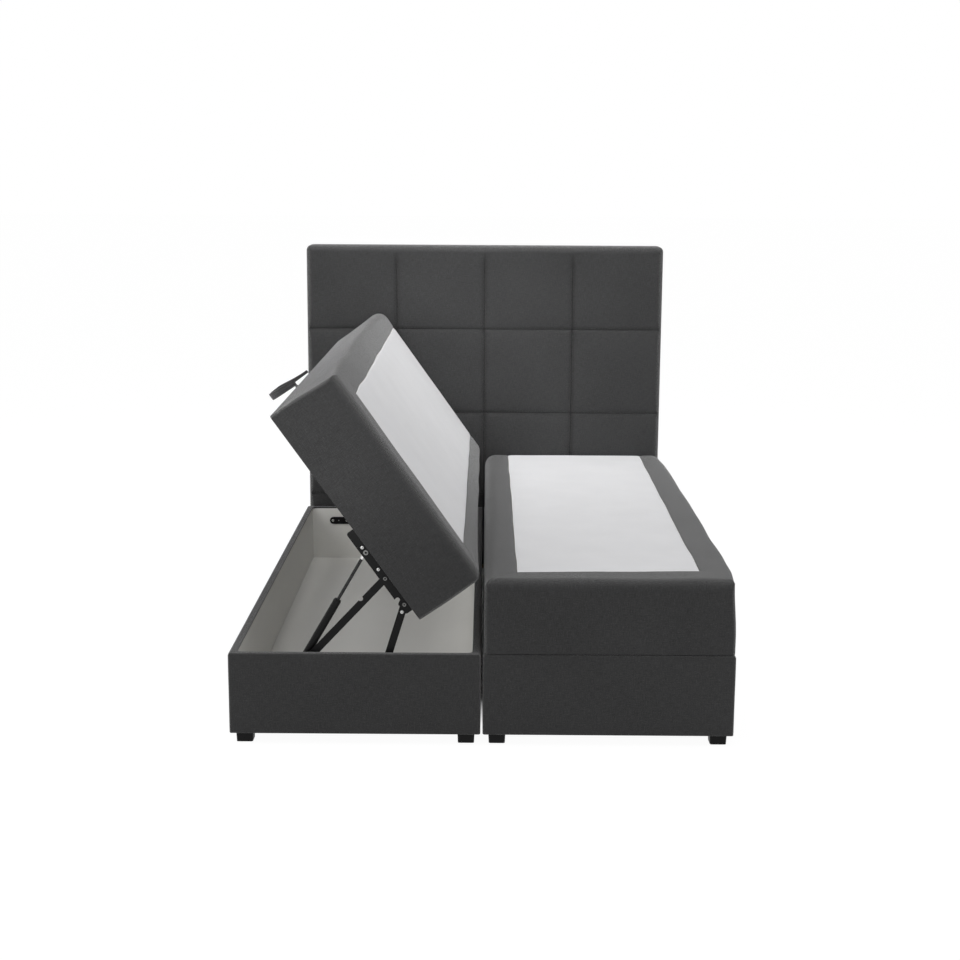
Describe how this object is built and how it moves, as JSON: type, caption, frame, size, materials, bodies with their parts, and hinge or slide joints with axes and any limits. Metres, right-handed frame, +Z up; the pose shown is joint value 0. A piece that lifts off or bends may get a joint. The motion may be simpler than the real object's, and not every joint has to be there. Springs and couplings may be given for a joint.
{
  "type": "storage box spring bed",
  "caption": "Storage box spring bed for two: upholstered boxes on block legs, each with a side-lifting sprung lid on a link and gas spring fitting, and a quilted headboard.",
  "frame": {"origin": "on the floor under the middle of the bed", "axes": "+Z up, +Y towards the headboard, +X to the right as seen from the foot end"},
  "size_m": [1.4235, 2.0904, 1.29],
  "materials": {
    "upholstery": "matte",
    "strap": "matte",
    "panel": "matte",
    "lining": "matte",
    "timber": "matte",
    "foam": "matte",
    "springs": "matte",
    "back_cloth": "matte",
    "leg": "satin",
    "steel": "satin",
    "rod": "satin"
  },
  "bodies": {
    "base": {"headboard_cover": "upholstery", "headboard_frame": "timber", "headboard_back_cloth": "back_cloth", "left_box_cover": "upholstery", "left_outer_wall": "lining", "left_inner_wall": "lining", "left_foot_end_wall": "lining", "left_head_end_wall": "lining", "left_storage_floor": "lining", "left_foot_end_bracket": "steel", "left_head_end_bracket": "steel", "left_foot_end_outer_leg": "leg", "left_head_end_outer_leg": "leg", "left_foot_end_inner_leg": "leg", "left_head_end_inner_leg": "leg", "right_box_cover": "upholstery", "right_outer_wall": "lining", "right_inner_wall": "lining", "right_foot_end_wall": "lining", "right_head_end_wall": "lining", "right_storage_floor": "lining", "right_foot_end_bracket": "steel", "right_head_end_bracket": "steel", "right_foot_end_outer_leg": "leg", "right_head_end_outer_leg": "leg", "right_foot_end_inner_leg": "leg", "right_head_end_inner_leg": "leg"},
    "left_short_links": {"left_foot_end_short_link": "steel", "left_head_end_short_link": "steel"},
    "left_lid": {"left_lid_frame": "timber", "left_spring_core": "springs", "left_lid_pad": "foam", "left_lid_cover": "upholstery", "left_lid_panel": "panel", "left_pull_strap": "strap", "left_foot_end_lid_rail": "steel", "left_head_end_lid_rail": "steel"},
    "left_long_links": {"left_foot_end_long_link": "steel", "left_head_end_long_link": "steel"},
    "left_gas_rods": {"left_foot_end_gas_rod": "rod", "left_head_end_gas_rod": "rod"},
    "left_gas_tubes": {"left_foot_end_gas_tube": "steel", "left_head_end_gas_tube": "steel"},
    "right_short_links": {"right_foot_end_short_link": "steel", "right_head_end_short_link": "steel"},
    "right_lid": {"right_lid_frame": "timber", "right_spring_core": "springs", "right_lid_pad": "foam", "right_lid_cover": "upholstery", "right_lid_panel": "panel", "right_pull_strap": "strap", "right_foot_end_lid_rail": "steel", "right_head_end_lid_rail": "steel"},
    "right_long_links": {"right_foot_end_long_link": "steel", "right_head_end_long_link": "steel"},
    "right_gas_rods": {"right_foot_end_gas_rod": "rod", "right_head_end_gas_rod": "rod"},
    "right_gas_tubes": {"right_foot_end_gas_tube": "steel", "right_head_end_gas_tube": "steel"}
  },
  "joints": [
    {"name": "left_lid_lift", "type": "hinge", "parent": "base", "child": "left_short_links", "pos_m": [-0.2811, 0, 0.178], "axis": [0, -1, 0], "range_deg": [-54.61, 0]},
    {"name": "left_lid_tilt", "type": "hinge", "parent": "left_short_links", "child": "left_lid", "pos_m": [-0.21385, 0, 0.39526], "axis": [0, 1, 0], "range_deg": [-109.01, 0]},
    {"name": "left_long_link_turn", "type": "hinge", "parent": "left_lid", "child": "left_long_links", "pos_m": [-0.26619, 0, 0.46837], "axis": [0, -1, 0], "range_deg": [-94.44, 0]},
    {"name": "left_gas_rod_turn", "type": "hinge", "parent": "left_lid", "child": "left_gas_rods", "pos_m": [-0.31853, 0, 0.54148], "axis": [0, -1, 0], "range_deg": [-105.32, 0]},
    {"name": "left_gas_spring_stroke", "type": "slide", "parent": "left_gas_rods", "child": "left_gas_tubes", "axis": [-0.4989, 0, -0.8666], "range_m": [-0.11686, 0]},
    {"name": "right_lid_lift", "type": "hinge", "parent": "base", "child": "right_short_links", "pos_m": [0.2811, 0, 0.178], "axis": [0, 1, 0], "range_deg": [0, 54.61]},
    {"name": "right_lid_tilt", "type": "hinge", "parent": "right_short_links", "child": "right_lid", "pos_m": [0.06503, 0, 0.249], "axis": [0, -1, 0], "range_deg": [0, 109.01]},
    {"name": "right_long_link_turn", "type": "hinge", "parent": "right_lid", "child": "right_long_links", "pos_m": [0.15495, 0, 0.249], "axis": [0, 1, 0], "range_deg": [0, 94.44]},
    {"name": "right_gas_rod_turn", "type": "hinge", "parent": "right_lid", "child": "right_gas_rods", "pos_m": [0.24486, 0, 0.249], "axis": [0, 1, 0], "range_deg": [0, 105.32]},
    {"name": "right_gas_spring_stroke", "type": "slide", "parent": "right_gas_rods", "child": "right_gas_tubes", "axis": [0.9873, 0, -0.1591], "range_m": [0, 0.11686]}
  ],
  "couplings": [
    {"joint": "left_lid_tilt", "follows": "left_lid_lift", "ratio": 1.9962},
    {"joint": "left_long_link_turn", "follows": "left_lid_lift", "ratio": 1.7292},
    {"joint": "left_gas_rod_turn", "follows": "left_lid_lift", "ratio": 1.9285},
    {"joint": "left_gas_spring_stroke", "follows": "left_lid_lift", "m_per_rad": 0.1226},
    {"joint": "right_lid_tilt", "follows": "right_lid_lift", "ratio": 1.9962},
    {"joint": "right_long_link_turn", "follows": "right_lid_lift", "ratio": 1.7292},
    {"joint": "right_gas_rod_turn", "follows": "right_lid_lift", "ratio": 1.9285},
    {"joint": "right_gas_spring_stroke", "follows": "right_lid_lift", "m_per_rad": 0.1226}
  ]
}
